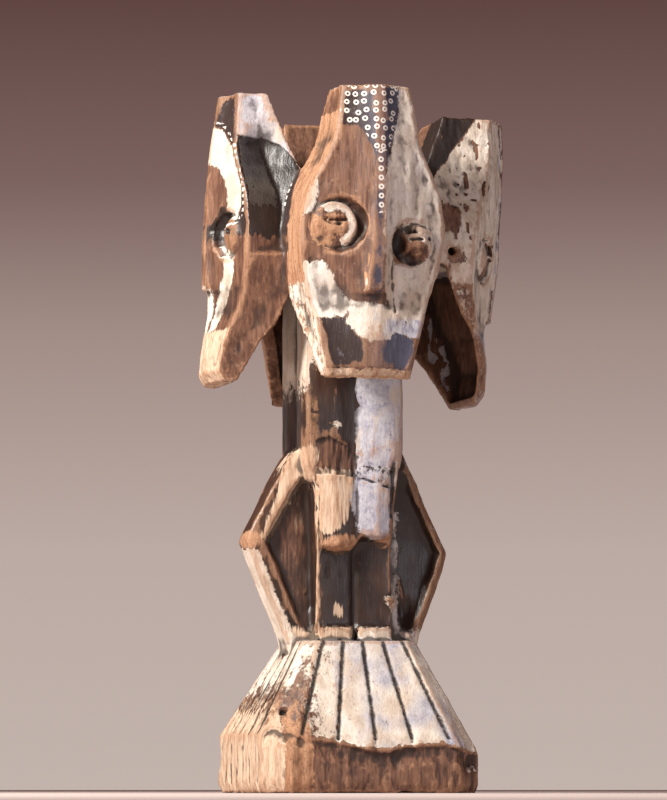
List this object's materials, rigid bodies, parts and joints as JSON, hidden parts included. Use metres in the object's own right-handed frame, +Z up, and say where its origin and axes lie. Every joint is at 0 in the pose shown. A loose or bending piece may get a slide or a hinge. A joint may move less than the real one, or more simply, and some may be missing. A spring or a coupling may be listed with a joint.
{
  "type": "four-faced figure",
  "caption": "Carved wooden figure with mask faces on every side of its head, arms bent out like wings, standing on a grooved square plinth.",
  "frame": {"origin": "middle of the plinth's underside", "axes": "+Z up, the front mask faces -Y, the elbows point along X"},
  "size_m": [0.1365, 0.1276, 0.301],
  "materials": {
    "carved_wood": "dark patina with worn white and blue-black paint"
  },
  "bodies": {
    "root": {"carved_figure": "carved_wood"}
  },
  "joints": []
}
